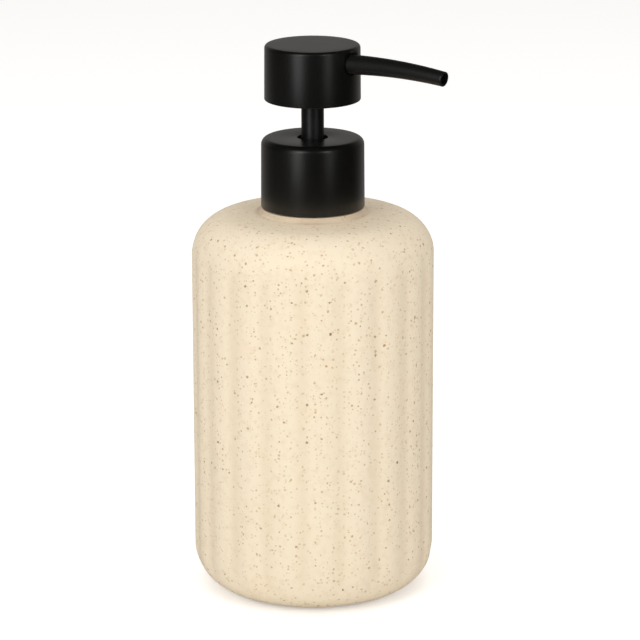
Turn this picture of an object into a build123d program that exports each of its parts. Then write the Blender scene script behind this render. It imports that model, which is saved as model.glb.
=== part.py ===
from build123d import *
import math
import os

os.makedirs("parts", exist_ok=True)

# Soap pump dispenser, millimetres. Origin: bottle axis on the surface it stands on.
# +Z is up and the spout points along +X.

# ---- clearances ----
run_fit = 0.05        # radial, a piece that slides or turns on another
press_fit = 0.03      # radial, pieces pushed or glued together
seat_gap = 0.02       # a valve face from its seat
axial_gap = 0.05      # flat faces that turn on each other
free_gap = 0.3        # pieces that pass without touching

# ---- ceramic bottle ----
body_radius = 39.0
body_height = 126.5   # up to the land that carries the pump
base_round = 14.0
shoulder_round = 13.1
shoulder_slope = 4.5  # degrees, from the round up to the land
land_step = 1.5
land_fillet = 0.9
land_edge = 0.35
bottle_wall = 4.2
bottle_floor = 5.5
inner_round = 9.0
foot_width = 3.6
foot_recess = 1.0
rib_count = 20
rib_depth = 0.68
rib_share = 0.64      # of a pitch, the rest is the groove
rib_turn = 2.3        # degrees, first rib from +X
rib_cover = 0.25      # the turned form stands this far outside the ribs

# ---- neck insert ----
thread_radius = 13.5
thread_depth = 1.2
thread_pitch = 4.2
thread_turns = 1.25
thread_crest = 1.0
thread_flank = 0.42   # a flank's height over its depth
thread_clear = 0.3
thread_start = 4.3    # middle of the thread's start, above the land
neck_height = 12.5    # rim above the land
neck_wall = 1.7
flange_thick = 1.4
plug_depth = 8.0
plug_groove_width = 1.2
plug_groove_depth = 0.5
plug_wall = 1.85

# ---- collar ----
closure_wall = 1.25
closure_plate = 1.6
closure_hole_radius = 8.0
collar_wall = 1.4
collar_draft = 0.15
collar_roof = 1.8
collar_room = 2.95    # over the closure's plate
collar_round = 2.2
collar_hole_radius = 5.2
collar_edge = 0.25

# ---- pump housing ----
gasket_thick = 1.0
bore_radius = 6.5
cylinder_wall = 1.1
cylinder_flange = 1.6
cylinder_foot = 1.2   # floor beneath the spring's ledge
ball_radius = 2.4
ball_lift = 1.5
ball_room = 0.9       # radial, ball to chamber
ball_stop_reach = 1.3 # nibs that hold the ball in
ball_stop_count = 4
port_radius = 1.35
port_length = 1.4
socket_wall = 1.1
socket_depth = 10.0
vent_radius = 0.6
vent_drop = 9.0       # below the flange
bush_flange = 1.2
bush_skirt = 4.0
bush_skirt_wall = 1.15
turret_wall = 1.08
turret_drop = 1.0     # turret top below the collar's top
wiper_height = 1.1
wiper_wall = 0.6

# ---- plunger ----
stem_radius = 3.62
stem_bore = 1.8
stem_stop_radius = 4.9
stem_stop_thick = 1.6
stem_tail = 7.3       # below the stop
stroke = 11.5
rod_radius = 2.2
rod_bore = 1.3
rod_socket = 10.0     # rod pushed this far in the stem
rod_port_radius = 0.85
foot_radius = 5.2
foot_thick = 1.6
foot_boss_length = 3.0
foot_boss_radius = 3.4
piston_length = 10.0
piston_wall = 0.8
piston_relief = 0.7   # annular passage round the rod
lost_motion = 1.3
spring_length = 26.8
spring_radius = 4.4
spring_wire = 0.8
spring_turns = 7

# ---- dip tube ----
tube_radius = 2.9
tube_bore = 1.9
tube_floor_gap = 2.0
tube_cut = 35.0       # degrees, slant of the lower end

# ---- press head ----
head_radius = 15.4
head_draft = 0.14
head_height = 17.8
head_gap = 0.8        # left under the head when fully pressed
head_wall = 1.1
head_roof = 1.3
head_round = 1.1
head_edge = 0.4
core_lift = 0.8       # core's rim above the shell's
core_wall = 1.2
core_roof = 1.6
post_wall = 2.0
stem_socket = 7.8
web_thick = 1.0
web_height = 8.0
web_count = 6
channel_radius = 1.6

# ---- spout ----
spout_root_radius = 3.24
spout_tip_radius = 2.37
spout_wall = 0.6
spout_reach = 48.9    # from the axis to the end of the bend
spout_drop = 5.2      # spout's axis below the head's top, at the bend's start
spout_bend_inset = 3.4   # the bend starts this far inside the side of the head
spout_tail = 4.5      # straight stretch in the core
spout_rise = 4.6      # degrees, up at the root
spout_fall = 6.4      # degrees, down at the tip
spout_hole_gap = 0.4
spout_lip = 0.6       # straight end
spout_edge = 0.15

# ---- heights and radii that follow ----
land_top = body_height
thread_core = thread_radius - thread_depth
neck_top = land_top + neck_height
neck_bore = thread_core - neck_wall
plug_radius = neck_bore + plug_wall
closure_bore = thread_radius + thread_clear
closure_radius = closure_bore + closure_wall
collar_bore = closure_radius + press_fit
collar_radius = collar_bore + collar_wall + collar_draft
gasket_top = neck_top + gasket_thick
housing_top = gasket_top + cylinder_flange
bush_top = housing_top + bush_flange
plate_bottom = bush_top + axial_gap
plate_top = plate_bottom + closure_plate
collar_under = plate_top + collar_room
collar_top = collar_under + collar_roof
collar_bottom = land_top + free_gap
turret_top = collar_top - turret_drop

stop_top = housing_top - press_fit - 0.7
stop_bottom = stop_top - stem_stop_thick
stem_bottom = stop_bottom - stem_tail
piston_top = stem_bottom - lost_motion
piston_bottom = piston_top - piston_length
seat_radius = rod_radius + piston_relief
foot_top = piston_bottom - seat_gap - (foot_radius - 0.6 - seat_radius)
foot_bottom = foot_top - foot_thick
ledge = foot_bottom - spring_length
chamber_radius = ball_radius + ball_room
chamber_top = ledge - cylinder_foot
seat_touch = ball_radius * math.sin(math.radians(45))
ball_height = chamber_top - ball_radius - ball_lift - 0.2
seat_bottom = ball_height - 2 * seat_touch + port_radius - seat_gap * 2
seat_top = seat_bottom + chamber_radius - port_radius
socket_top = seat_bottom - port_length
socket_bottom = socket_top - socket_depth
socket_bore = tube_radius + press_fit
cylinder_radius = bore_radius + cylinder_wall

head_bottom = collar_top + stroke + head_gap
head_top = head_bottom + head_height
head_bore = head_radius - head_draft - head_wall
core_radius = head_bore - press_fit
core_bottom = head_bottom + core_lift
core_top = head_top - head_roof
stem_top = core_bottom + stem_socket
post_radius = stem_radius + post_wall
spout_height = head_top - spout_drop
spout_bend_from = head_radius - spout_bend_inset

EPS = 0.5             # how far a cutting tool runs past a face


def ring(outer, inner, bottom, top):
    """Closed profile of a plain ring, on the XZ plane."""
    with Locations(((outer + inner) / 2, (top + bottom) / 2)):
        Rectangle(outer - inner, top - bottom)


def thread_outline(base, crest, middle):
    """Trapezoid of a thread from a base inside the wall to its crest, on the XZ plane."""
    half_crest = thread_crest / 2
    half_base = half_crest + abs(base - crest) * thread_flank
    Polyline(
        (base, middle - half_base),
        (crest, middle - half_crest),
        (crest, middle + half_crest),
        (base, middle + half_base),
        close=True,
    )


# ---- bottle: turned form, ribs pressed round it, hollow inside ----
form_radius = body_radius + rib_cover
foot_radius_outer = form_radius - base_round
slope = math.radians(shoulder_slope)
round_end = form_radius - shoulder_round + shoulder_round * math.sin(slope)
land_foot = land_top - land_step
slope_rise = (round_end - collar_radius) * math.tan(slope)
shoulder_start = land_foot - slope_rise - shoulder_round * math.cos(slope)
cavity_radius = body_radius - bottle_wall
ceiling_round = shoulder_round - bottle_wall
ceiling_end = cavity_radius - ceiling_round + ceiling_round * math.sin(slope)
mouth_radius = plug_radius + press_fit
ceiling_mouth = shoulder_start + ceiling_round * math.cos(slope)
ceiling_mouth += (ceiling_end - mouth_radius) * math.tan(slope)

with BuildPart() as bottle:
    with BuildSketch(Plane.XZ):
        with BuildLine():
            Polyline(
                (0, foot_recess),
                (foot_radius_outer - foot_width - foot_recess, foot_recess),
                (foot_radius_outer - foot_width, 0),
                (foot_radius_outer, 0),
            )
            CenterArc((foot_radius_outer, base_round), base_round, -90, 90)
            Line((form_radius, base_round), (form_radius, shoulder_start))
            CenterArc(
                (form_radius - shoulder_round, shoulder_start),
                shoulder_round,
                0,
                90 - shoulder_slope,
            )
            Polyline(
                (round_end, land_foot - slope_rise),
                (collar_radius, land_foot),
                (collar_radius, land_top),
                (0, land_top),
                (0, foot_recess),
            )
        make_face()
    revolve(axis=Axis.Z)
    land_corner = (
        bottle.edges()
        .filter_by(GeomType.CIRCLE)
        .filter_by_position(Axis.Z, land_foot - 0.01, land_foot + 0.01)
    )
    fillet(land_corner, land_fillet)
    land_rim = (
        bottle.edges()
        .filter_by(GeomType.CIRCLE)
        .filter_by_position(Axis.Z, land_top - 0.01, land_top + 0.01)
    )
    fillet(land_rim, land_edge)
    with BuildSketch(Plane.XY):
        with BuildLine():
            pitch_angle = 360 / rib_count
            half_rib = pitch_angle * rib_share / 2
            shared_radius = body_radius - rib_depth * rib_share
            for k in range(rib_count):
                crest = rib_turn + k * pitch_angle
                groove = crest + pitch_angle / 2
                start = PolarLine((0, 0), shared_radius, crest - half_rib, mode=Mode.PRIVATE) @ 1
                top = PolarLine((0, 0), body_radius, crest, mode=Mode.PRIVATE) @ 1
                end = PolarLine((0, 0), shared_radius, crest + half_rib, mode=Mode.PRIVATE) @ 1
                low = PolarLine((0, 0), body_radius - rib_depth, groove, mode=Mode.PRIVATE) @ 1
                after = PolarLine(
                    (0, 0), shared_radius, crest + pitch_angle - half_rib, mode=Mode.PRIVATE
                ) @ 1
                ThreePointArc(start, top, end)
                ThreePointArc(end, low, after)
        make_face()
    extrude(amount=land_top + EPS, mode=Mode.INTERSECT)
    with BuildSketch(Plane.XZ):
        with BuildLine():
            Line((0, bottle_floor), (cavity_radius - inner_round, bottle_floor))
            CenterArc(
                (cavity_radius - inner_round, bottle_floor + inner_round),
                inner_round,
                -90,
                90,
            )
            Line(
                (cavity_radius, bottle_floor + inner_round),
                (cavity_radius, shoulder_start),
            )
            CenterArc(
                (cavity_radius - ceiling_round, shoulder_start),
                ceiling_round,
                0,
                90 - shoulder_slope,
            )
            Polyline(
                (ceiling_end, shoulder_start + ceiling_round * math.cos(slope)),
                (mouth_radius, ceiling_mouth),
                (mouth_radius, land_top + EPS),
                (0, land_top + EPS),
                (0, bottle_floor),
            )
        make_face()
    revolve(axis=Axis.Z, mode=Mode.SUBTRACT)
bottle.part.label = "bottle"
export_step(bottle.part, "parts/bottle.step")


# ---- neck insert: plug glued in the mouth, flange on the land, outside thread ----
thread_height = thread_pitch * thread_turns
thread_from = land_top + thread_start
insert_flange_radius = closure_radius - 2 * free_gap

with BuildPart() as neck_insert:
    with BuildSketch(Plane.XZ):
        ring(plug_radius, neck_bore, land_top - plug_depth, land_top)
        ring(insert_flange_radius, neck_bore, land_top, land_top + flange_thick)
        ring(thread_core, neck_bore, land_top + flange_thick, neck_top)
    revolve(axis=Axis.Z)
    with BuildSketch(Plane.XZ):
        for share in (1 / 3, 2 / 3):
            groove_z = land_top - plug_depth * share
            ring(
                plug_radius + EPS,
                plug_radius - plug_groove_depth,
                groove_z - plug_groove_width / 2,
                groove_z + plug_groove_width / 2,
            )
    revolve(axis=Axis.Z, mode=Mode.SUBTRACT)
    rim = neck_insert.edges().filter_by_position(Axis.Z, neck_top - 0.01, neck_top + 0.01)
    chamfer(rim.filter_by(GeomType.CIRCLE), 0.3)
    with BuildLine() as neck_helix:
        Helix(thread_pitch, thread_height, thread_core, (0, 0, thread_from))
    with BuildSketch(Plane.XZ):
        with BuildLine():
            thread_outline(thread_core - EPS, thread_radius, thread_from)
        make_face()
    sweep(path=neck_helix.line, is_frenet=True)
neck_insert.part.label = "neck_insert"
export_step(neck_insert.part, "parts/neck_insert.step")


# ---- inner closure: the collar's threaded ring, its plate holds the pump down ----
closure_bottom = land_top + flange_thick + free_gap
inner_thread_from = thread_from + thread_pitch / 2
inner_thread_reach = thread_core + thread_clear

with BuildPart() as inner_closure:
    with BuildSketch(Plane.XZ):
        ring(closure_radius, closure_bore, closure_bottom, collar_under)
        ring(closure_radius, closure_hole_radius, plate_bottom, plate_top)
    revolve(axis=Axis.Z)
    with BuildLine() as closure_helix:
        Helix(thread_pitch, thread_height, closure_bore, (0, 0, inner_thread_from))
    with BuildSketch(Plane.XZ):
        with BuildLine():
            thread_outline(closure_bore + EPS, inner_thread_reach, inner_thread_from)
        make_face()
    sweep(path=closure_helix.line, is_frenet=True)
inner_closure.part.label = "inner_closure"
export_step(inner_closure.part, "parts/inner_closure.step")


# ---- collar shell: black cover pushed over the closure ----
with BuildPart() as collar_shell:
    with BuildSketch(Plane.XZ):
        with BuildLine():
            Polyline(
                (collar_bore, collar_bottom),
                (collar_radius, collar_bottom),
                (collar_radius - collar_draft, collar_top),
                (collar_hole_radius, collar_top),
                (collar_hole_radius, collar_under),
                (collar_bore, collar_under),
                close=True,
            )
        make_face()
    revolve(axis=Axis.Z)
    top_rings = collar_shell.edges().filter_by(GeomType.CIRCLE).group_by(Axis.Z)[-1]
    fillet(top_rings.sort_by(SortBy.RADIUS)[-1], collar_round)
    low_rings = collar_shell.edges().filter_by(GeomType.CIRCLE).group_by(Axis.Z)[0]
    fillet(low_rings.sort_by(SortBy.RADIUS)[-1], collar_edge)
    top_rings = collar_shell.edges().filter_by(GeomType.CIRCLE).group_by(Axis.Z)[-1]
    fillet(top_rings.sort_by(SortBy.RADIUS)[0], collar_edge)
collar_shell.part.label = "collar_shell"
export_step(collar_shell.part, "parts/collar_shell.step")


# ---- gasket: soft ring on the neck's rim ----
housing_flange_radius = thread_core - 0.1

with BuildPart() as gasket:
    with BuildSketch(Plane.XZ):
        ring(housing_flange_radius, cylinder_radius + free_gap, neck_top, gasket_top)
    revolve(axis=Axis.Z)
    fillet(gasket.edges().filter_by(GeomType.CIRCLE), 0.2)
gasket.part.label = "gasket"
export_step(gasket.part, "parts/gasket.step")


# ---- pump cylinder: flange, bore, spring ledge, ball chamber, tube socket ----
chamber_outer = chamber_radius + cylinder_wall
socket_outer = socket_bore + socket_wall
taper = cylinder_radius - chamber_outer

with BuildPart() as pump_cylinder:
    with BuildSketch(Plane.XZ):
        with BuildLine():
            Polyline(
                (bore_radius, housing_top),
                (housing_flange_radius, housing_top),
                (housing_flange_radius, gasket_top),
                (cylinder_radius, gasket_top),
                (cylinder_radius, chamber_top),
                (chamber_outer, chamber_top - taper),
                (chamber_outer, seat_bottom),
                (socket_outer, seat_bottom - (chamber_outer - socket_outer)),
                (socket_outer, socket_bottom),
                (socket_bore, socket_bottom),
                (socket_bore, socket_top),
                (port_radius, socket_top),
                (port_radius, seat_bottom),
                (chamber_radius, seat_top),
                (chamber_radius, ledge),
                (bore_radius, ledge),
                close=True,
            )
        make_face()
    revolve(axis=Axis.Z)
    with BuildSketch(Plane.XY.offset(chamber_top)):
        with PolarLocations(chamber_radius, ball_stop_count):
            Circle(ball_stop_reach)
        Circle(chamber_radius + cylinder_wall / 2, mode=Mode.INTERSECT)
    extrude(amount=cylinder_foot)
    with BuildSketch(Plane.YZ.offset(bore_radius - EPS)):
        with Locations((0, gasket_top - vent_drop)):
            Circle(vent_radius)
    extrude(amount=cylinder_wall + 2 * EPS, mode=Mode.SUBTRACT)
pump_cylinder.part.label = "pump_cylinder"
export_step(pump_cylinder.part, "parts/pump_cylinder.step")


# ---- guide bush: flange on the housing, skirt in its bore, turret round the stem ----
guide_bore = stem_radius + run_fit
turret_radius = guide_bore + turret_wall
skirt_radius = bore_radius - press_fit
guide_bottom = stop_top + 0.1
wiper_radius = stem_radius + press_fit + wiper_wall

with BuildPart() as guide_bush:
    with BuildSketch(Plane.XZ):
        with BuildLine():
            Polyline(
                (guide_bore, guide_bottom),
                (skirt_radius - bush_skirt_wall, guide_bottom),
                (skirt_radius - bush_skirt_wall, housing_top - bush_skirt),
                (skirt_radius, housing_top - bush_skirt),
                (skirt_radius, housing_top),
                (housing_flange_radius - 1.0, housing_top),
                (housing_flange_radius - 1.0, bush_top),
                (turret_radius, bush_top),
                (turret_radius, turret_top),
                (wiper_radius + press_fit, turret_top),
                (wiper_radius + press_fit, turret_top - wiper_height - 0.1),
                (guide_bore, turret_top - wiper_height - 0.1),
                close=True,
            )
        make_face()
    revolve(axis=Axis.Z)
guide_bush.part.label = "guide_bush"
export_step(guide_bush.part, "parts/guide_bush.step")


# ---- stem wiper: soft ring in the turret's mouth ----
with BuildPart() as stem_wiper:
    with BuildSketch(Plane.XZ):
        ring(
            wiper_radius,
            stem_radius + press_fit,
            turret_top - wiper_height - 0.1,
            turret_top - 0.1,
        )
    revolve(axis=Axis.Z)
    wiper_top = stem_wiper.edges().filter_by(GeomType.CIRCLE).group_by(Axis.Z)[-1]
    fillet(wiper_top, wiper_wall / 4)
stem_wiper.part.label = "stem_wiper"
export_step(stem_wiper.part, "parts/stem_wiper.step")


# ---- inlet ball ----
with BuildPart() as inlet_ball:
    with Locations((0, 0, ball_height)):
        Sphere(ball_radius)
inlet_ball.part.label = "inlet_ball"
export_step(inlet_ball.part, "parts/inlet_ball.step")


# ---- return spring: helix with both ends ground flat ----
spring_pitch = spring_length / spring_turns

with BuildPart() as spring:
    with BuildLine() as coil:
        Helix(
            spring_pitch,
            spring_length + 2 * spring_wire,
            spring_radius,
            (0, 0, ledge - spring_wire),
        )
    with BuildSketch(Plane(coil.line @ 0, z_dir=coil.line % 0)):
        Circle(spring_wire / 2)
    sweep(path=coil.line, is_frenet=True)
    split(bisect_by=Plane.XY.offset(ledge), keep=Keep.TOP)
    split(bisect_by=Plane.XY.offset(foot_bottom), keep=Keep.BOTTOM)
spring.part.label = "spring"
export_step(spring.part, "parts/spring.step")


# ---- dip tube: its lower end is cut on a slant so that it can't seal on the floor ----
tube_bottom = bottle_floor + tube_floor_gap

with BuildPart() as dip_tube:
    with BuildSketch(Plane.XY.offset(tube_bottom)):
        Circle(tube_radius)
        Circle(tube_bore, mode=Mode.SUBTRACT)
    extrude(amount=socket_top - tube_bottom)
    slant = Plane.XY.offset(tube_bottom).rotated((0, -tube_cut, 0))
    slant.origin = Vector(-tube_radius, 0, tube_bottom)
    split(bisect_by=slant, keep=Keep.TOP)
dip_tube.part.label = "dip_tube"
export_step(dip_tube.part, "parts/dip_tube.step")


# ---- stem: tube from the piston up into the head ----
rod_top = stem_bottom + rod_socket
rod_socket_radius = rod_radius + press_fit

with BuildPart() as stem:
    with BuildSketch(Plane.XZ):
        with BuildLine():
            Polyline(
                (rod_socket_radius, stem_bottom),
                (stem_radius, stem_bottom),
                (stem_radius, stop_bottom),
                (stem_stop_radius, stop_bottom),
                (stem_stop_radius, stop_top),
                (stem_radius, stop_top),
                (stem_radius, stem_top),
                (stem_bore, stem_top),
                (stem_bore, rod_top),
                (rod_socket_radius, rod_top),
                close=True,
            )
        make_face()
    revolve(axis=Axis.Z)
    stem_rim = stem.edges().filter_by(GeomType.CIRCLE).group_by(Axis.Z)[-1]
    chamfer(stem_rim.sort_by(SortBy.RADIUS)[-1], 0.4)
stem.part.label = "stem"
export_step(stem.part, "parts/stem.step")


# ---- piston rod: hollow rod, side inlets, conical valve foot with a spring boss ----
cone_radius = foot_radius - 0.6
cone_top = piston_bottom - seat_gap + (seat_radius - rod_radius)
port_height = cone_top + rod_port_radius + 0.2
boss_bottom = foot_bottom - foot_boss_length

with BuildPart() as piston_rod:
    with BuildSketch(Plane.XZ):
        with BuildLine():
            Polyline(
                (0, boss_bottom),
                (foot_boss_radius - 0.6, boss_bottom),
                (foot_boss_radius, boss_bottom + 0.9),
                (foot_boss_radius, foot_bottom),
                (foot_radius, foot_bottom),
                (foot_radius, foot_top),
                (cone_radius, foot_top),
                (rod_radius, cone_top),
                (rod_radius, rod_top),
                (0, rod_top),
                close=True,
            )
        make_face()
    revolve(axis=Axis.Z)
    with BuildSketch(Plane.XY.offset(cone_top)):
        Circle(rod_bore)
    extrude(amount=rod_top - cone_top + EPS, mode=Mode.SUBTRACT)
    for side in (Plane.XZ, Plane.YZ):
        with BuildSketch(side):
            with Locations((0, port_height)):
                Circle(rod_port_radius)
        extrude(amount=rod_radius + EPS, both=True, mode=Mode.SUBTRACT)
piston_rod.part.label = "piston_rod"
export_step(piston_rod.part, "parts/piston_rod.step")


# ---- piston: sleeve that floats on the rod, with a lip up and a lip down ----
sleeve_bore = rod_radius + run_fit
sleeve_radius = seat_radius + piston_wall
lip_radius = bore_radius - run_fit
lip_root = lip_radius - 0.55
web_middle = piston_bottom + 0.42 * piston_length
web_half = 1.0
lip_height = 3.5
lip_band = 0.8

with BuildPart() as piston:
    with BuildSketch(Plane.XZ):
        with BuildLine():
            Polyline(
                (seat_radius, piston_bottom),
                (sleeve_radius, piston_bottom),
                (sleeve_radius, web_middle - web_half),
                (lip_root - 0.7, web_middle - web_half),
                (lip_radius - 0.5, web_middle - lip_height),
                (lip_radius, web_middle - lip_height),
                (lip_radius, web_middle - lip_height + lip_band),
                (lip_root, web_middle),
                (lip_radius, web_middle + lip_height - lip_band),
                (lip_radius, web_middle + lip_height),
                (lip_radius - 0.5, web_middle + lip_height),
                (lip_root - 0.7, web_middle + web_half),
                (sleeve_radius, web_middle + web_half),
                (sleeve_radius, piston_top),
                (sleeve_bore, piston_top),
                (sleeve_bore, web_middle),
                (seat_radius, web_middle),
                close=True,
            )
        make_face()
    revolve(axis=Axis.Z)
piston.part.label = "piston"
export_step(piston.part, "parts/piston.step")


# ---- spout's line: straight in the core, then one even bend down to its short straight end ----
rise = math.radians(spout_rise)
fall = math.radians(spout_fall)
bend_radius = (spout_reach - spout_bend_from) / (math.sin(rise) + math.sin(fall))
spout_dir = Vector(math.cos(rise), 0, math.sin(rise))
bend_start = Vector(spout_bend_from, 0, spout_height)
tail_start = bend_start - spout_dir * spout_tail
axis_height = spout_height - spout_bend_from * math.tan(rise)
root_plane = Plane(bend_start, x_dir=(0, 1, 0), z_dir=spout_dir)
tail_plane = Plane(tail_start, x_dir=(0, 1, 0), z_dir=spout_dir)
channel_plane = Plane((0, 0, axis_height), x_dir=(0, 1, 0), z_dir=spout_dir)

with BuildLine(Plane.XZ) as spout_bend:
    JernArc(
        (spout_bend_from, spout_height),
        (math.cos(rise), math.sin(rise)),
        bend_radius,
        -(spout_rise + spout_fall),
    )
tip = spout_bend.line @ 1
tip_plane = Plane(tip, x_dir=(0, 1, 0), z_dir=spout_bend.line % 1)

# ---- spout: tapered tube ----
with BuildPart() as spout:
    with BuildSketch(tail_plane):
        Circle(spout_root_radius)
    extrude(amount=spout_tail)
    with BuildSketch(root_plane):
        Circle(spout_root_radius)
    with BuildSketch(tip_plane):
        Circle(spout_tip_radius)
    sweep(path=spout_bend.line, multisection=True)
    with BuildSketch(tip_plane):
        Circle(spout_tip_radius)
    extrude(amount=spout_lip)
    with BuildSketch(tail_plane):
        Circle(spout_root_radius - spout_wall)
    extrude(amount=spout_tail, mode=Mode.SUBTRACT)
    with BuildSketch(root_plane):
        Circle(spout_root_radius - spout_wall)
    with BuildSketch(tip_plane):
        Circle(spout_tip_radius - spout_wall)
    sweep(path=spout_bend.line, multisection=True, mode=Mode.SUBTRACT)
    with BuildSketch(tip_plane):
        Circle(spout_tip_radius - spout_wall)
    extrude(amount=spout_lip, mode=Mode.SUBTRACT)
    tip_rims = spout.faces().sort_by(Axis.X)[-1].edges()
    fillet(tip_rims, spout_edge)
spout.part.label = "spout"
export_step(spout.part, "parts/spout.step")


# ---- head core: cup with stem post, webs, channel and spout socket ----
spout_socket = spout_root_radius + press_fit
boss_radius = spout_root_radius + 0.95
stem_socket_radius = stem_radius + press_fit

with BuildPart() as head_core:
    with BuildSketch(Plane.XZ):
        ring(core_radius, core_radius - core_wall, core_bottom, core_top)
        ring(core_radius, 0, core_top - core_roof, core_top)
        ring(post_radius, 0, core_bottom, core_top)
    revolve(axis=Axis.Z)
    with BuildSketch(Plane.XY.offset(core_top - core_roof)):
        with PolarLocations(core_radius / 2, web_count, start_angle=30):
            Rectangle(core_radius - core_wall, web_thick)
    extrude(amount=-web_height)
    with BuildSketch(channel_plane):
        Circle(boss_radius)
    extrude(amount=core_radius - core_wall / 2)
    with BuildSketch(Plane.XY.offset(core_bottom)):
        Circle(core_radius)
    extrude(amount=core_top - core_bottom, mode=Mode.INTERSECT)
    with BuildSketch(Plane.XY.offset(core_bottom)):
        Circle(stem_socket_radius)
    extrude(amount=stem_socket, mode=Mode.SUBTRACT)
    with BuildSketch(Plane.XY.offset(stem_top)):
        Circle(channel_radius)
    extrude(amount=axis_height - stem_top, mode=Mode.SUBTRACT)
    with BuildSketch(channel_plane):
        Circle(channel_radius)
    extrude(amount=core_radius, mode=Mode.SUBTRACT)
    with BuildSketch(tail_plane):
        Circle(spout_socket)
    extrude(amount=core_radius, mode=Mode.SUBTRACT)
head_core.part.label = "head_core"
export_step(head_core.part, "parts/head_core.step")


# ---- head shell: black press cap over the core ----
with BuildPart() as head_shell:
    with BuildSketch(Plane.XZ):
        with BuildLine():
            Polyline(
                (head_bore, head_bottom),
                (head_radius, head_bottom),
                (head_radius - head_draft, head_top),
                (0, head_top),
                (0, core_top),
                (head_bore, core_top),
                close=True,
            )
        make_face()
    revolve(axis=Axis.Z)
    cap_top = head_shell.edges().filter_by(GeomType.CIRCLE).group_by(Axis.Z)[-1]
    fillet(cap_top, head_round)
    cap_rims = head_shell.edges().filter_by(GeomType.CIRCLE).group_by(Axis.Z)[0]
    fillet(cap_rims.sort_by(SortBy.RADIUS)[-1], head_edge)
    with BuildSketch(root_plane):
        Circle(spout_root_radius + spout_hole_gap)
    extrude(amount=head_radius, mode=Mode.SUBTRACT)
head_shell.part.label = "head_shell"
export_step(head_shell.part, "parts/head_shell.step")
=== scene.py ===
import math

import bpy
from mathutils import Matrix


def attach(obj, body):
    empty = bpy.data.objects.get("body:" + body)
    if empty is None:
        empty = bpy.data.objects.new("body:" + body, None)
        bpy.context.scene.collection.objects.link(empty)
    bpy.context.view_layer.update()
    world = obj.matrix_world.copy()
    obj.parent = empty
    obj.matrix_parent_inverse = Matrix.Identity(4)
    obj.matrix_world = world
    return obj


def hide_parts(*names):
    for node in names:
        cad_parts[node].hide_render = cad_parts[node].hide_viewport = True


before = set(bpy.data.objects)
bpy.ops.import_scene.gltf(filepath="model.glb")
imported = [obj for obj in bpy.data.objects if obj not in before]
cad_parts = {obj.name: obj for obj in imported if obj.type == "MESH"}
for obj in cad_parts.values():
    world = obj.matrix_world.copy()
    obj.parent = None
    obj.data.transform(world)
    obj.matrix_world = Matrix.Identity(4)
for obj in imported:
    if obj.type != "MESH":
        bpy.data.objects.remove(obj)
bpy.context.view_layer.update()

# ---- Stoneware bottle ----
# Slip-cast ceramic bottle with twenty soft upright ribs, a rounded shoulder and a low land under the pump.
# Dipped in a cream satin glaze full of iron specks, and fired on a bare clay foot ring.
# The glaze fills the ends of the ribs, so they fade into the shoulder and into the base.
MM = 0.001


def only(piece):
    """Selects one piece alone and makes it active."""
    bpy.ops.object.select_all(action="DESELECT")
    piece.select_set(True)
    bpy.context.view_layer.objects.active = piece


def pick_ring(piece, radius, height, slack=0.02):
    """In edit mode, selects the edges of the level ring with this radius and height, in millimetres."""
    bpy.ops.object.mode_set(mode="OBJECT")
    mesh = piece.data
    near = [
        abs(math.hypot(v.co.x, v.co.y) / MM - radius) < slack and abs(v.co.z / MM - height) < slack
        for v in mesh.vertices
    ]
    for face in mesh.polygons:
        face.select = False
    for vertex in mesh.vertices:
        vertex.select = False
    for edge in mesh.edges:
        edge.select = all(near[i] for i in edge.vertices)
    bpy.ops.object.mode_set(mode="EDIT")
    bpy.ops.mesh.select_mode(type="EDGE")


def turned(name, outline, segments):
    """A ring drawn along an outline of (radius, height) in millimetres. Left open at both ends."""
    bpy.ops.object.select_all(action="DESELECT")
    first_radius, first_height = outline[0]
    bpy.ops.mesh.primitive_circle_add(
        vertices=segments, radius=first_radius * MM, location=(0, 0, first_height * MM)
    )
    piece = bpy.context.object
    piece.name = name
    bpy.ops.object.transform_apply(location=True, rotation=True, scale=True)
    bpy.ops.object.mode_set(mode="EDIT")
    bpy.ops.mesh.select_all(action="SELECT")
    radius, height = first_radius, first_height
    for next_radius, next_height in outline[1:]:
        step = (0, 0, (next_height - height) * MM)
        bpy.ops.mesh.extrude_region_move(TRANSFORM_OT_translate={"value": step})
        share = next_radius / radius
        bpy.ops.transform.resize(
            value=(share, share, 1), center_override=(0, 0, next_height * MM)
        )
        radius, height = next_radius, next_height
    return piece


def close_ends(piece, outline):
    """Fills the first and the last ring of a turned piece."""
    for radius, height in (outline[0], outline[-1]):
        pick_ring(piece, radius, height)
        bpy.ops.mesh.edge_face_add()


def join_ends():
    """In edit mode, bridges the last ring of the piece to its first."""
    bpy.ops.mesh.select_all(action="DESELECT")
    bpy.ops.mesh.select_mode(type="EDGE")
    bpy.ops.mesh.select_non_manifold()
    bpy.ops.mesh.bridge_edge_loops()


def round_ring(piece, radius, height, size, segments=5):
    """Rounds the corner at one ring, in millimetres."""
    pick_ring(piece, radius, height)
    bpy.ops.mesh.bevel(offset=size * MM, offset_type="OFFSET", segments=segments, profile=0.5)


def finish_piece(piece, material, body, slot, *nodes, angle=35):
    """Smooths, paints and fastens a piece to its body, in place of its CAD nodes."""
    bpy.ops.object.mode_set(mode="EDIT")
    bpy.ops.mesh.select_all(action="SELECT")
    bpy.ops.mesh.remove_doubles(threshold=0.000001)
    bpy.ops.mesh.normals_make_consistent(inside=False)
    bpy.ops.object.mode_set(mode="OBJECT")
    only(piece)
    bpy.ops.object.shade_smooth_by_angle(angle=math.radians(angle))
    piece.data.materials.clear()
    piece.data.materials.append(material)
    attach(piece, body)
    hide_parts(*nodes)


def arc(centre, across, up, start, end, steps):
    """Points of an arc in millimetres, from start to end degrees."""
    points = []
    for k in range(steps + 1):
        turn = math.radians(start + (end - start) * k / steps)
        points.append((centre[0] + across * math.cos(turn), centre[1] + up * math.sin(turn)))
    return points


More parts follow.
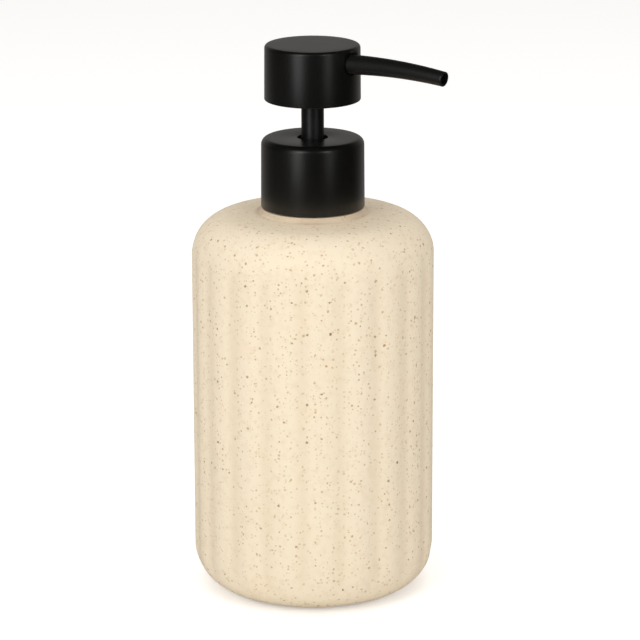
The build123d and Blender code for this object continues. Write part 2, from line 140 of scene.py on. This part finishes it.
body_radius = 39.0
foot_outer, foot_inner, foot_recess = 25.25, 21.65, 1.0
base_round = 14.0
shoulder_height, shoulder_round = 111.1, 13.0
land_radius, land_height, land_foot = 16.6, 126.5, 125.0
mouth_radius = 12.5
wall = 4.2
floor_height, inner_round = 5.5, 9.0
inside = body_radius - wall
ceiling_round = shoulder_round - wall
wall_levels = [base_round + 2 + k * (shoulder_height - base_round - 4) / 14 for k in range(15)]

bottle_outline = [(foot_inner - foot_recess, foot_recess), (foot_inner, 0.25), (foot_inner + 0.3, 0)]
bottle_outline += [(foot_outer - 0.4, 0)]
bottle_outline += arc(
    (foot_outer, base_round), body_radius - foot_outer, base_round, -88, 0, 16
)
bottle_outline += [(body_radius, level) for level in wall_levels]
bottle_outline += arc(
    (body_radius - shoulder_round, shoulder_height), shoulder_round, shoulder_round, 0, 86, 16
)
bottle_outline += [(22.5, 124.43), (18.9, 124.75)]
bottle_outline += arc((land_radius + 1.2, land_foot + 1.0), 1.2, 1.1, -80, -178, 5)
bottle_outline += [(land_radius, land_height - 0.35), (land_radius - 0.12, land_height - 0.1)]
bottle_outline += [(land_radius - 0.4, land_height), (mouth_radius + 0.3, land_height)]
bottle_outline += [(mouth_radius, land_height - 0.3), (mouth_radius, land_foot - 3.8)]
bottle_outline += arc(
    (inside - ceiling_round, shoulder_height), ceiling_round, ceiling_round, 85, 0, 8
)
bottle_outline += [(inside, 60.0)]
bottle_outline += arc(
    (inside - inner_round, floor_height + inner_round), inner_round, inner_round, 0, -88, 8
)
bottle_outline += [(10.0, floor_height)]

rib_count, rib_share, rib_depth, rib_turn = 20, 0.64, 0.68, 2.3
fade_foot, fade_over, fade_length = 4.5, 6.5, 9.0
columns_per_rib = 18
bottle = turned("bottle_body", bottle_outline, rib_count * columns_per_rib)
close_ends(bottle, bottle_outline)
bpy.ops.mesh.select_all(action="SELECT")
bpy.ops.mesh.normals_make_consistent(inside=False)
bpy.ops.object.mode_set(mode="OBJECT")


def groove_depth(turn):
    """Depth below the ribs' crests, 0 to 1, at an angle in degrees from the first crest."""
    pitch = 360 / rib_count
    half_rib = pitch * rib_share / 2
    half_groove = pitch / 2 - half_rib
    off = abs((turn + pitch / 2) % pitch - pitch / 2)
    if off < half_rib:
        return rib_share * (off / half_rib) ** 2
    return 1 - (1 - rib_share) * ((pitch / 2 - off) / half_groove) ** 2


def rib_fade(height):
    """1 along the wall, easing to 0 into the base and into the shoulder."""
    low = min(max((height - fade_foot) / fade_length, 0), 1)
    high = min(max((shoulder_height + fade_over - height) / fade_length, 0), 1)
    ease = min(low, high)
    return ease * ease * (3 - 2 * ease)


grooves = bottle.vertex_groups.new(name="grooves")
depths = []
for vertex in bottle.data.vertices:
    x, y, z = (c / MM for c in vertex.co)
    turn = math.degrees(math.atan2(y, x)) - rib_turn
    outside = math.hypot(x, y) > inside + 1.5
    depths.append(groove_depth(turn) * rib_fade(z) if outside else 0)
    grooves.add([vertex.index], depths[-1], "REPLACE")
only(bottle)
press_in = bottle.modifiers.new("grooves", "DISPLACE")
press_in.direction = "NORMAL"
press_in.mid_level = 0
press_in.strength = -rib_depth * MM
press_in.vertex_group = grooves.name
bpy.ops.object.modifier_apply(modifier=press_in.name)
# The groove depth is kept on the points, for the painted shade in the grooves.
groove_shade_layer = bottle.data.attributes.new("painted_groove_shade", "FLOAT", "POINT")
groove_shade_layer.data.foreach_set("value", depths)


def new_group(name, inputs, outputs):
    """An empty node group with float, vector or colour sockets."""
    group = bpy.data.node_groups.new(name, "ShaderNodeTree")
    for label, kind, value in inputs:
        socket = group.interface.new_socket(name=label, in_out="INPUT", socket_type=kind)
        if value is not None:
            socket.default_value = value
    for label, kind in outputs:
        group.interface.new_socket(name=label, in_out="OUTPUT", socket_type=kind)
    entry = group.nodes.new("NodeGroupInput")
    leave = group.nodes.new("NodeGroupOutput")
    return group, entry, leave


def add(tree, kind, links=(), **settings):
    """A node with its settings, and links given as (source socket, input name or index)."""
    node = tree.nodes.new(kind)
    for key, value in settings.items():
        setattr(node, key, value)
    for source, target in links:
        if isinstance(source, (int, float, tuple)):
            node.inputs[target].default_value = source
        else:
            tree.links.new(source, node.inputs[target])
    return node


def math_node(tree, operation, *values, clamp=False):
    """A Math node on values or sockets."""
    links = [(value, k) for k, value in enumerate(values)]
    return add(tree, "ShaderNodeMath", links, operation=operation, use_clamp=clamp).outputs[0]


def mix_colour(tree, share, first, second):
    """Blends two colours by a share."""
    node = add(tree, "ShaderNodeMix", data_type="RGBA")
    for source, socket in ((share, 0), (first, 6), (second, 7)):
        if isinstance(source, (int, float, tuple)):
            node.inputs[socket].default_value = source
        else:
            tree.links.new(source, node.inputs[socket])
    return node.outputs[2]


def new_material(name, roughness, specular=0.5, metallic=0.0):
    """A material with its shader and an Object coordinate."""
    material = bpy.data.materials.new(name)
    material.use_nodes = True
    tree = material.node_tree
    shader = tree.nodes["Principled BSDF"]
    shader.inputs["Roughness"].default_value = roughness
    shader.inputs["Specular IOR Level"].default_value = specular
    shader.inputs["Metallic"].default_value = metallic
    place = tree.nodes.new("ShaderNodeTexCoord").outputs["Object"]
    return material, tree, shader, place


def speck_group():
    """Scattered iron specks: a mask from ragged dots of uneven size, some cells left empty."""
    group, entry, leave = new_group(
        "iron_specks",
        [
            ("Vector", "NodeSocketVector", None),
            ("Per Metre", "NodeSocketFloat", 400.0),
            ("Size", "NodeSocketFloat", 0.2),
            ("Share", "NodeSocketFloat", 0.5),
        ],
        [("Mask", "NodeSocketFloat"), ("Chance", "NodeSocketFloat")],
    )
    ragged = add(
        group, "ShaderNodeTexNoise", [(entry.outputs["Vector"], "Vector"), (1900.0, "Scale")]
    )
    nudge = add(
        group,
        "ShaderNodeVectorMath",
        [(ragged.outputs["Color"], 0), ((0.0007, 0.0007, 0.0007), 1)],
        operation="MULTIPLY",
    )
    bent = add(
        group,
        "ShaderNodeVectorMath",
        [(entry.outputs["Vector"], 0), (nudge.outputs[0], 1)],
        operation="ADD",
    )
    cells = add(
        group,
        "ShaderNodeTexVoronoi",
        [(bent.outputs[0], "Vector"), (entry.outputs["Per Metre"], "Scale")],
    )
    chance = add(group, "ShaderNodeSeparateColor", [(cells.outputs["Color"], 0)])
    kept = math_node(group, "LESS_THAN", chance.outputs[0], entry.outputs["Share"])
    spread = math_node(group, "MULTIPLY_ADD", chance.outputs[1], 0.8, 0.4)
    reach = math_node(group, "MULTIPLY", spread, entry.outputs["Size"])
    gap = math_node(group, "SUBTRACT", reach, cells.outputs["Distance"])
    edge = math_node(group, "DIVIDE", gap, math_node(group, "MULTIPLY", entry.outputs["Size"], 0.35))
    dot = math_node(group, "MULTIPLY", math_node(group, "ADD", edge, 0.0, clamp=True), kept)
    group.links.new(dot, leave.inputs["Mask"])
    group.links.new(chance.outputs[2], leave.inputs["Chance"])
    return group


iron_specks = speck_group()


def specks(tree, place, per_metre, size, share, shift):
    """One size of speck in a material, its pattern shifted so that sizes don't line up."""
    moved = add(tree, "ShaderNodeMapping", [(place, "Vector")])
    moved.inputs["Location"].default_value = (shift, shift * 1.7, shift * 0.6)
    node = add(tree, "ShaderNodeGroup", node_tree=iron_specks)
    tree.links.new(moved.outputs[0], node.inputs["Vector"])
    node.inputs["Per Metre"].default_value = per_metre
    node.inputs["Size"].default_value = size
    node.inputs["Share"].default_value = share
    return node.outputs["Mask"], node.outputs["Chance"]


glaze, tree, shader, place = new_material("speckled_cream_glaze", 0.5, specular=0.35)
cloud = add(tree, "ShaderNodeTexNoise", [(place, "Vector"), (42.0, "Scale"), (4.0, "Detail")])
blush = add(tree, "ShaderNodeTexNoise", [(place, "Vector"), (95.0, "Scale"), (2.0, "Detail")])
mottle = add(tree, "ShaderNodeTexNoise", [(place, "Vector"), (420.0, "Scale"), (3.0, "Detail")])
cream = mix_colour(tree, cloud.outputs[0], (0.815, 0.715, 0.553, 1), (0.77, 0.665, 0.505, 1))
warm_share = math_node(tree, "MULTIPLY_ADD", blush.outputs[0], 4.0, -2.2, clamp=True)
cream = mix_colour(tree, math_node(tree, "MULTIPLY", warm_share, 0.45), cream, (0.81, 0.665, 0.50, 1))
grain_share = math_node(tree, "MULTIPLY_ADD", mottle.outputs[0], 3.2, -1.55, clamp=True)
ground = mix_colour(tree, math_node(tree, "MULTIPLY", grain_share, 0.34), cream, (0.64, 0.50, 0.33, 1))
for per_metre, size, share, shift, colour, strength in (
    (980.0, 0.32, 0.60, 0.113, (0.58, 0.44, 0.26, 1), 0.56),
    (760.0, 0.29, 0.50, 0.013, (0.48, 0.34, 0.16, 1), 0.52),
    (600.0, 0.26, 0.38, 0.031, (0.36, 0.23, 0.09, 1), 0.52),
    (480.0, 0.22, 0.26, 0.057, (0.24, 0.14, 0.05, 1), 0.62),
    (420.0, 0.22, 0.12, 0.097, (0.46, 0.22, 0.07, 1), 0.60),
    (330.0, 0.16, 0.09, 0.083, (0.12, 0.08, 0.035, 1), 0.72),
):
    mask, chance = specks(tree, place, per_metre, size, share, shift)
    uneven = math_node(tree, "MULTIPLY_ADD", chance, 0.7, strength - 0.35)
    weight = math_node(tree, "MULTIPLY", mask, uneven)
    ground = mix_colour(tree, weight, ground, colour)
# Painted shade: the grooves between the ribs are darkened more the deeper they are.
groove_shade_fac = add(tree, "ShaderNodeAttribute", attribute_name="painted_groove_shade").outputs["Fac"]
groove_shade_share = math_node(tree, "MULTIPLY", math_node(tree, "POWER", groove_shade_fac, 3.0), 0.32)
groove_shaded = mix_colour(tree, groove_shade_share, ground, (0.66, 0.545, 0.385, 1))
axes = add(tree, "ShaderNodeSeparateXYZ", [(place, 0)])
flat = add(tree, "ShaderNodeCombineXYZ", [(axes.outputs[0], 0), (axes.outputs[1], 1)])
reach = add(tree, "ShaderNodeVectorMath", [(flat.outputs[0], 0)], operation="LENGTH").outputs["Value"]
land_edge, land_shade_height, bare_height = 0.0174, 0.12515, 0.0006
# Painted shade: a blotchy dark brown ring in the fillet round the land, just under the collar's edge.
from_edge = math_node(tree, "ABSOLUTE", math_node(tree, "SUBTRACT", reach, land_edge))
collar_shade_ring = math_node(tree, "SUBTRACT", 1.0, math_node(tree, "MULTIPLY", from_edge, 620.0), clamp=True)
# Painted shade: darker and warmer within about 21 to 27 mm of the axis, on the shoulder round the collar.
collar_shade_wide = math_node(tree, "MULTIPLY_ADD", reach, -150.0, 4.1, clamp=True)
# Painted shade: the land under the collar is darkened above 125.15 mm.
land_shade = math_node(tree, "GREATER_THAN", axes.outputs[2], land_shade_height)
collar_shade_blotch = math_node(tree, "MULTIPLY_ADD", blush.outputs[0], 1.6, -0.52, clamp=True)
ground = mix_colour(tree, math_node(tree, "MULTIPLY", collar_shade_wide, 0.20), groove_shaded, (0.68, 0.52, 0.35, 1))
ground = mix_colour(tree, math_node(tree, "MULTIPLY", collar_shade_ring, collar_shade_blotch), ground, (0.40, 0.27, 0.17, 1))
ground = mix_colour(tree, math_node(tree, "MULTIPLY", land_shade, 0.4), ground, (0.52, 0.42, 0.30, 1))
bare = math_node(tree, "LESS_THAN", axes.outputs[2], bare_height)
ground = mix_colour(tree, bare, ground, (0.62, 0.47, 0.33, 1))
tree.links.new(ground, shader.inputs["Base Color"])
sheen = math_node(tree, "MULTIPLY_ADD", cloud.outputs[0], 0.16, 0.40)
dry_clay = math_node(tree, "MULTIPLY", bare, 0.9)
tree.links.new(math_node(tree, "MAXIMUM", sheen, dry_clay), shader.inputs["Roughness"])
wave = add(tree, "ShaderNodeTexNoise", [(place, "Vector"), (120.0, "Scale"), (2.0, "Detail")])
relief = math_node(tree, "MULTIPLY_ADD", mottle.outputs[0], 0.25, wave.outputs[0])
bump = add(tree, "ShaderNodeBump", [(0.35, "Strength"), (0.00025, "Distance"), (relief, "Height")])
tree.links.new(bump.outputs[0], shader.inputs["Normal"])

finish_piece(bottle, glaze, "bottle", "stoneware", "bottle", angle=50)

# ---- Black satin plastic of the pump's outside ----
# The collar, press cap, stem and spout are moulded in black plastic and left satin.
# A faint even grain from the tool breaks up the shine, and the gloss drifts a little over each face.


def grain_group():
    """Moulded grain: a fine relief and a slow drift of the gloss."""
    group, entry, leave = new_group(
        "moulded_grain",
        [
            ("Vector", "NodeSocketVector", None),
            ("Grains Per Metre", "NodeSocketFloat", 3000.0),
            ("Gloss", "NodeSocketFloat", 0.35),
            ("Drift", "NodeSocketFloat", 0.08),
        ],
        [("Roughness", "NodeSocketFloat"), ("Relief", "NodeSocketFloat"), ("Tone", "NodeSocketFloat")],
    )
    fine = add(
        group,
        "ShaderNodeTexNoise",
        [(entry.outputs["Vector"], "Vector"), (entry.outputs["Grains Per Metre"], "Scale"), (2.0, "Detail")],
    )
    slow = add(
        group,
        "ShaderNodeTexNoise",
        [(entry.outputs["Vector"], "Vector"), (70.0, "Scale"), (3.0, "Detail")],
    )
    centred = math_node(group, "SUBTRACT", slow.outputs[0], 0.5)
    wander = math_node(group, "MULTIPLY", centred, entry.outputs["Drift"])
    group.links.new(math_node(group, "ADD", wander, entry.outputs["Gloss"]), leave.inputs["Roughness"])
    group.links.new(fine.outputs[0], leave.inputs["Relief"])
    group.links.new(slow.outputs[0], leave.inputs["Tone"])
    return group


moulded_grain = grain_group()


def moulded(name, dark, light, gloss, drift, relief, grains=3000.0, specular=0.5, metallic=0.0):
    """A moulded or drawn finish between two close colours."""
    material, tree, shader, place = new_material(name, gloss, specular, metallic)
    node = add(tree, "ShaderNodeGroup", node_tree=moulded_grain)
    tree.links.new(place, node.inputs["Vector"])
    node.inputs["Grains Per Metre"].default_value = grains
    node.inputs["Gloss"].default_value = gloss
    node.inputs["Drift"].default_value = drift
    tree.links.new(mix_colour(tree, node.outputs["Tone"], dark, light), shader.inputs["Base Color"])
    tree.links.new(node.outputs["Roughness"], shader.inputs["Roughness"])
    bump = add(
        tree,
        "ShaderNodeBump",
        [(relief, "Strength"), (0.00004, "Distance"), (node.outputs["Relief"], "Height")],
    )
    tree.links.new(bump.outputs[0], shader.inputs["Normal"])
    return material


black_shell = moulded(
    "satin_black_shell", (0.0022, 0.0021, 0.0018, 1), (0.0034, 0.0032, 0.0028, 1), 0.33, 0.08, 0.25
)
black_tube = moulded(
    "satin_black_tube", (0.0036, 0.0035, 0.0032, 1), (0.0052, 0.0051, 0.0047, 1), 0.42, 0.07, 0.2
)

# ---- Collar shell ----
# Plain black cover pushed over the threaded closure, with a rounded top edge and a hole for the stem.
# Moulded with a little draft, so it narrows towards its top.
collar_low, collar_high, collar_under = 126.8, 149.2, 147.4
collar_wide, collar_narrow, collar_bore, collar_hole = 16.63, 16.48, 15.08, 4.95
collar_outline = [
    (collar_bore, collar_low),
    (collar_wide, collar_low),
    (collar_narrow, collar_high),
    (collar_hole, collar_high),
    (collar_hole, collar_under),
    (collar_bore, collar_under),
]
collar = turned("collar_cover", collar_outline, 192)
join_ends()
round_ring(collar, collar_narrow, collar_high, 2.2, 9)
round_ring(collar, collar_wide, collar_low, 0.25, 3)
round_ring(collar, collar_hole, collar_high, 0.15, 3)
finish_piece(collar, black_shell, "collar", "black_shell", "collar_shell")

# ---- Press cap ----
# Black drum over the head's core, turned by hand to swing the spout.
# Its side has a round hole with a broken edge for the spout, and a thin gap is left round the tube.
cap_low, cap_high, cap_under = 161.5, 179.3, 178.0
cap_wide, cap_narrow, cap_bore = 15.4, 15.26, 14.16
spout_rise = math.radians(4.6)
spout_start, spout_level = 12.0, 174.1
cap_outline = [
    (0.6, cap_under),
    (cap_bore, cap_under),
    (cap_bore, cap_low),
    (cap_wide, cap_low),
    (cap_narrow, cap_high),
    (11.0, cap_high),
    (6.0, cap_high),
    (0.6, cap_high),
]
cap = turned("press_cap", cap_outline, 192)
close_ends(cap, cap_outline)
round_ring(cap, cap_narrow, cap_high, 1.1, 7)
round_ring(cap, cap_wide, cap_low, 0.4, 4)
bpy.ops.object.mode_set(mode="OBJECT")


def draw_rings(name, stations, segments):
    """A ring drawn along stations of (x, z, slope down in radians, radius), square to its line."""
    bpy.ops.object.select_all(action="DESELECT")
    x, z, slope, radius = stations[0]
    bpy.ops.mesh.primitive_circle_add(vertices=segments, radius=radius * MM)
    piece = bpy.context.object
    piece.name = name
    piece.rotation_euler = (0, math.pi / 2 + slope, 0)
    piece.location = (x * MM, 0, z * MM)
    bpy.ops.object.transform_apply(location=True, rotation=True, scale=True)
    bpy.ops.object.mode_set(mode="EDIT")
    bpy.ops.mesh.select_all(action="SELECT")
    for next_x, next_z, next_slope, next_radius in stations[1:]:
        step = ((next_x - x) * MM, 0, (next_z - z) * MM)
        centre = (next_x * MM, 0, next_z * MM)
        bpy.ops.mesh.extrude_region_move(TRANSFORM_OT_translate={"value": step})
        if next_slope != slope:
            bpy.ops.transform.rotate(
                value=-(next_slope - slope), orient_axis="Y", center_override=centre
            )
        scale = next_radius / radius
        bpy.ops.transform.resize(value=(scale, scale, scale), center_override=centre)
        x, z, slope, radius = next_x, next_z, next_slope, next_radius
    return piece


hole_radius, lip_round = 3.64, 0.36
drill_inset, drill_past, drill_flare = 2.4, 1.2, 2.2
cap_face = (cap_wide + cap_narrow) / 2
lip_profile = [(cap_bore - drill_inset, hole_radius), (cap_face - lip_round, hole_radius)]
for k in range(1, 6):
    turn = math.radians(16 * k)
    across = cap_face - lip_round + lip_round * math.sin(turn)
    lip_profile.append((across, hole_radius + lip_round * (1 - math.cos(turn))))
lip_profile.append((cap_face + drill_past, hole_radius + drill_flare))
drill_stations = [
    (x, spout_level + (x - spout_start) * math.tan(spout_rise), -spout_rise, radius)
    for x, radius in lip_profile
]
drill = draw_rings("side_drill", drill_stations, 96)
bpy.ops.mesh.select_all(action="DESELECT")
bpy.ops.mesh.select_non_manifold()
bpy.ops.mesh.edge_face_add()
bpy.ops.mesh.select_all(action="SELECT")
bpy.ops.mesh.normals_make_consistent(inside=False)
bpy.ops.object.mode_set(mode="OBJECT")
for vertex in drill.data.vertices:
    across = vertex.co.y / MM
    vertex.co.x -= (cap_face - math.sqrt(cap_face ** 2 - across ** 2)) * MM
only(cap)
side_hole = cap.modifiers.new("side_hole", "BOOLEAN")
side_hole.operation = "DIFFERENCE"
side_hole.solver = "EXACT"
side_hole.object = drill
bpy.ops.object.modifier_apply(modifier=side_hole.name)
bpy.data.objects.remove(drill, do_unlink=True)
finish_piece(cap, black_shell, "head", "black_shell", "head_shell")

# ---- Spout ----
# Slim tapered black tube, bent a little down towards its open tip.
# Moulded in one with its bore, then pushed into the core.
tube_segments, bend_steps = 64, 26
root_radius, tip_radius, tube_wall = 3.24, 2.37, 0.6
spout_fall = math.radians(6.4)
bend_end = 48.9
bend_radius = (bend_end - spout_start) / (math.sin(spout_rise) + math.sin(spout_fall))
bend_length = bend_radius * (spout_rise + spout_fall)
tail_length, lip_length, tip_edge = 4.5, 0.6, 0.15


def spout_point(share):
    """Place and slope of the spout's line: 0 to 1 along the bend, less inside the head, more past it."""
    slope = -spout_rise + (spout_rise + spout_fall) * min(max(share, 0), 1)
    x = spout_start + bend_radius * (math.sin(slope) + math.sin(spout_rise))
    z = spout_level + bend_radius * (math.cos(slope) - math.cos(spout_rise))
    beyond = (share - min(max(share, 0), 1)) * bend_length
    return x + beyond * math.cos(slope), z - beyond * math.sin(slope), slope


def outer_radius(share):
    """Outer radius of the tapered tube."""
    return root_radius + (tip_radius - root_radius) * min(max(share, 0), 1)


tail = -tail_length / bend_length
lip = 1 + lip_length / bend_length
stations = [(tail, root_radius - 0.2), (tail + 0.2 / bend_length, root_radius)]
stations += [(k / bend_steps, outer_radius(k / bend_steps)) for k in range(bend_steps + 1)]
for k in range(1, 5):
    turn = math.radians(22.5 * k)
    back = tip_edge * (1 - math.sin(turn))
    stations.append((lip - back / bend_length, tip_radius - tip_edge * (1 - math.cos(turn))))
for k in range(4, -1, -1):
    turn = math.radians(22.5 * k)
    back = tip_edge * (1 - math.sin(turn))
    inner = tip_radius - tube_wall + tip_edge * (1 - math.cos(turn))
    stations.append((lip - back / bend_length, inner))
stations += [
    (k / bend_steps, outer_radius(k / bend_steps) - tube_wall) for k in range(bend_steps, -1, -1)
]
stations += [(tail, root_radius - tube_wall)]
tube_stations = [(*spout_point(share), radius) for share, radius in stations]
spout = draw_rings("spout_tube", tube_stations, tube_segments)
join_ends()
finish_piece(spout, black_tube, "head", "black_tube", "spout", angle=50)

# ---- Stem ----
# Black tube that carries the head, pressed in its core.
# It slides in the guide bush, and a collar near its foot stops it at the top.
stem_low, stop_low, stop_high, stem_high = 131.97, 139.27, 140.87, 170.1
stem_radius, stop_radius, stem_bore = 3.62, 4.9, 1.8
socket_radius, socket_top = 2.23, 141.97
stem_outline = [
    (socket_radius, stem_low),
    (stem_radius, stem_low),
    (stem_radius, stop_low),
    (stop_radius, stop_low),
    (stop_radius, stop_high),
    (stem_radius, stop_high),
    (stem_radius, stem_high),
    (stem_bore, stem_high),
    (stem_bore, socket_top),
    (socket_radius, socket_top),
]
stem = turned("stem_tube", stem_outline, 96)
join_ends()
round_ring(stem, stem_radius, stem_high, 0.4, 3)
round_ring(stem, stop_radius, stop_high, 0.2, 2)
finish_piece(stem, black_tube, "plunger", "black_tube", "stem")

# ---- Hidden mouldings, seals and steel ----
# The threaded neck, closure, bush and head core are black mouldings.
# The cylinder, rod and dip tube are natural polypropylene, the seals soft rubber, the spring and ball steel.
black_moulding = moulded(
    "black_moulding", (0.012, 0.012, 0.012, 1), (0.02, 0.02, 0.019, 1), 0.48, 0.1, 0.35
)
natural_plastic = moulded(
    "natural_polypropylene", (0.74, 0.745, 0.72, 1), (0.82, 0.82, 0.79, 1), 0.4, 0.1, 0.2
)
soft_seal = moulded("soft_seal_rubber", (0.02, 0.02, 0.02, 1), (0.032, 0.031, 0.03, 1), 0.72, 0.1, 0.5)
spring_steel = moulded(
    "drawn_spring_steel", (0.5, 0.5, 0.49, 1), (0.62, 0.61, 0.6, 1), 0.3, 0.12, 0.3, metallic=1.0
)
ball_steel = moulded(
    "polished_ball_steel", (0.6, 0.6, 0.6, 1), (0.68, 0.68, 0.67, 1), 0.12, 0.05, 0.05, metallic=1.0
)
hidden_finishes = {
    "neck_insert": black_moulding,
    "inner_closure": black_moulding,
    "guide_bush": black_moulding,
    "head_core": black_moulding,
    "pump_cylinder": natural_plastic,
    "piston_rod": natural_plastic,
    "dip_tube": natural_plastic,
    "gasket": soft_seal,
    "stem_wiper": soft_seal,
    "piston": soft_seal,
    "spring": spring_steel,
    "inlet_ball": ball_steel,
}
for name, finish in hidden_finishes.items():
    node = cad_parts[name]
    only(node)
    node.data.materials.clear()
    node.data.materials.append(finish)

# ---- Studio ----
# White table, upright soft boxes and small ones in front, a fill at the right and a wide one overhead.
# The camera sees a white room, and glossy faces see a dim one.
view_azimuth, view_pitch, view_roll = 34.5, 15.45, -0.18
camera_back, camera_height = 1.08943, 0.38988


def around(azimuth, distance, height):
    """A place round the object, at an azimuth in degrees counted as the camera's is."""
    turn = math.radians(azimuth)
    return (distance * math.sin(turn), -distance * math.cos(turn), height)


bpy.ops.object.select_all(action="DESELECT")
bpy.ops.mesh.primitive_circle_add(vertices=128, radius=3.0, fill_type="NGON", location=(0, 0, 0))
table = bpy.context.object
table.name = "table"
white_table = bpy.data.materials.new("white_table")
white_table.use_nodes = True
tree = white_table.node_tree
shader = tree.nodes["Principled BSDF"]
shader.inputs["Roughness"].default_value = 0.9
path = tree.nodes.new("ShaderNodeLightPath")
tree.links.new(
    mix_colour(tree, path.outputs["Is Glossy Ray"], (0.93, 0.925, 0.915, 1), (0.012, 0.0115, 0.011, 1)),
    shader.inputs["Base Color"],
)
away = tuple(-c for c in around(view_azimuth, 1, 0))
spot = tree.nodes.new("ShaderNodeTexCoord").outputs["Object"]
outward = add(tree, "ShaderNodeVectorMath", [(spot, 0)], operation="NORMALIZE").outputs[0]
behind = add(tree, "ShaderNodeVectorMath", [(outward, 0), (away, 1)], operation="DOT_PRODUCT")
far_side = math_node(tree, "MULTIPLY_ADD", behind.outputs["Value"], 1.6, -0.45, clamp=True)
to_left = around(view_azimuth - 90, 1, 0)
leftward = add(tree, "ShaderNodeVectorMath", [(outward, 0), (to_left, 1)], operation="DOT_PRODUCT")
left_side = math_node(tree, "MULTIPLY_ADD", leftward.outputs["Value"], 1.4, -0.4, clamp=True)
dark_floor = mix_colour(tree, left_side, (0.002, 0.002, 0.0018, 1), (0.075, 0.072, 0.066, 1))
seen_back = mix_colour(tree, far_side, dark_floor, (0.34, 0.33, 0.31, 1))
glow_unseen, glow_seen = (0.12, 0.118, 0.115, 1), (0.31, 0.315, 0.325, 1)
plain_glow = mix_colour(tree, path.outputs["Is Camera Ray"], glow_unseen, glow_seen)
tree.links.new(
    mix_colour(tree, path.outputs["Is Glossy Ray"], plain_glow, seen_back),
    shader.inputs["Emission Color"],
)
shader.inputs["Emission Strength"].default_value = 1.0
table.data.materials.append(white_table)


def soft_box(name, azimuth, distance, height, width, tall, power, aim, in_gloss):
    """A soft box that faces the object, seen or unseen in glossy faces."""
    bpy.ops.object.light_add(type="AREA", location=around(azimuth, distance, height))
    lamp = bpy.context.object
    lamp.name = name
    lamp.data.shape = "RECTANGLE"
    lamp.data.size = width
    lamp.data.size_y = tall
    lamp.data.energy = power
    x, y, z = lamp.location
    level = math.atan2(z - aim, math.hypot(x, y))
    lamp.rotation_euler = (math.pi / 2 - level, 0, math.atan2(y, x) + math.pi / 2)
    lamp.visible_camera = False
    lamp.visible_glossy = in_gloss


soft_box("left_strip", view_azimuth - 34, 0.55, 0.32, 0.19, 0.62, 0.86, 0.32, True)
soft_box("right_strip", view_azimuth + 37, 0.55, 0.32, 0.14, 0.62, 0.30, 0.32, True)
soft_box("left_spot", view_azimuth - 29, 0.55, 0.42, 0.12, 0.14, 0.30, 0.15, True)
soft_box("right_spot", view_azimuth + 31, 0.55, 0.42, 0.10, 0.14, 0.20, 0.15, True)
soft_box("right_fill", view_azimuth + 48, 0.9, 0.25, 0.7, 0.7, 0.4, 0.08, False)
soft_box("overhead", view_azimuth, 0.1, 1.3, 1.2, 1.2, 6.5, 0.1, False)

world = bpy.data.worlds.new("white_room")
bpy.context.scene.world = world
world.use_nodes = True
tree = world.node_tree
room = tree.nodes["Background"]
path = tree.nodes.new("ShaderNodeLightPath")
towards = tree.nodes.new("ShaderNodeTexCoord").outputs["Generated"]
behind = add(tree, "ShaderNodeVectorMath", [(towards, 0), (away, 1)], operation="DOT_PRODUCT")
rise = add(tree, "ShaderNodeSeparateXYZ", [(towards, 0)]).outputs[2]
back_wall = math_node(tree, "MULTIPLY_ADD", behind.outputs["Value"], 1.6, -0.45, clamp=True)
low_wall = math_node(tree, "MULTIPLY_ADD", rise, -4.5, 2.6, clamp=True)
glow = math_node(tree, "MULTIPLY", back_wall, low_wall)
dim_room = mix_colour(tree, glow, (0.02, 0.0195, 0.018, 1), (0.62, 0.60, 0.57, 1))
warm_white, pure_white = (1.0, 0.965, 0.925, 1), (1.75, 1.75, 1.75, 1)
lit_room = mix_colour(tree, path.outputs["Is Camera Ray"], warm_white, pure_white)
tree.links.new(
    mix_colour(tree, path.outputs["Is Glossy Ray"], lit_room, dim_room),
    room.inputs["Color"],
)
room.inputs["Strength"].default_value = 0.6

camera_data = bpy.data.cameras.new("camera")
camera = bpy.data.objects.new("camera", camera_data)
bpy.context.scene.collection.objects.link(camera)
bpy.context.scene.camera = camera
camera_data.sensor_width = 36
camera_data.lens = 196.5
camera_data.shift_x = 0.01056
camera_data.shift_y = -0.0008
camera_data.clip_end = 20
camera.location = around(view_azimuth, camera_back, camera_height)
turn = Matrix.Rotation(math.radians(view_azimuth), 3, "Z")
tilt = Matrix.Rotation(math.radians(90 - view_pitch), 3, "X")
roll = Matrix.Rotation(math.radians(view_roll), 3, "Z")
camera.rotation_euler = (turn @ tilt @ roll).to_euler()
bpy.context.scene.view_settings.view_transform = "Standard"
